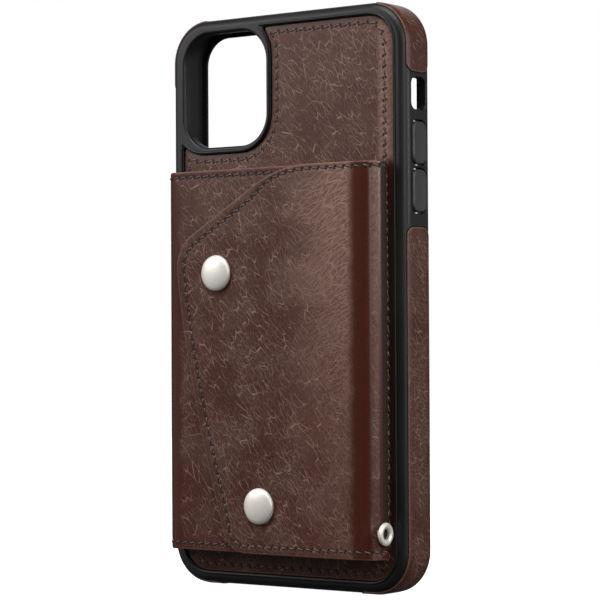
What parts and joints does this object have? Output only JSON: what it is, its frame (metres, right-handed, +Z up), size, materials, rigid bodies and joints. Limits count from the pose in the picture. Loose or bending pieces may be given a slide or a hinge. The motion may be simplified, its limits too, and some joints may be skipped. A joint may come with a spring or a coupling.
{
  "type": "phone wallet case",
  "caption": "Soft phone case with a stitched leather back and a snap-closed card wallet sewn on it; the flap folds open and the side buttons press in.",
  "frame": {"origin": "middle of the flat inner face of the back wall, where the back of the phone rests", "axes": "+Z up the length of the case, +Y out of the screen opening, -Y out of the wallet, +X towards the volume buttons"},
  "size_m": [0.0838, 0.0224, 0.1634],
  "materials": {
    "soft_shell": "matte black soft plastic with a fine grain",
    "hard_plate": "satin black hard plastic",
    "leather": "dark brown leather, creased and lightly waxed",
    "lining": "dark brown fine cloth",
    "nickel": "bright nickel plate, lightly brushed"
  },
  "bodies": {
    "case": {"tpu_shell": "soft_shell", "backer_plate": "hard_plate", "back_leather": "leather", "side_leather_upper_right": "leather", "side_leather_lower_right": "leather", "side_leather_upper_left": "leather", "side_leather_lower_left": "leather", "wallet_wrap": "leather", "wrap_lining": "lining", "card_slot_rear": "lining", "card_slot_front": "lining", "pocket_front": "leather", "pocket_lining": "lining", "stud_upper": "nickel", "stud_lower": "nickel", "stud_post_upper": "nickel", "stud_post_lower": "nickel", "eyelet": "nickel", "eyelet_washer": "nickel"},
    "flap": {"flap_leather": "leather", "flap_lining": "lining", "snap_cap_upper": "nickel", "snap_cap_lower": "nickel", "snap_socket_upper": "nickel", "snap_socket_lower": "nickel"},
    "volume_up": {"volume_up_button": "soft_shell"},
    "volume_down": {"volume_down_button": "soft_shell"},
    "power": {"power_button": "soft_shell"}
  },
  "joints": [
    {"name": "flap_fold", "type": "hinge", "parent": "case", "child": "flap", "pos_m": [0.03509, -0.0108, 0], "axis": [0, 0, 1], "range_deg": [0, 165]},
    {"name": "volume_up_press", "type": "slide", "parent": "case", "child": "volume_up", "axis": [-1, 0, 0], "range_m": [0, 0.0004], "stiffness_N_per_m": 3000},
    {"name": "volume_down_press", "type": "slide", "parent": "case", "child": "volume_down", "axis": [-1, 0, 0], "range_m": [0, 0.0004], "stiffness_N_per_m": 3000},
    {"name": "power_press", "type": "slide", "parent": "case", "child": "power", "axis": [1, 0, 0], "range_m": [0, 0.0004], "stiffness_N_per_m": 3000}
  ]
}
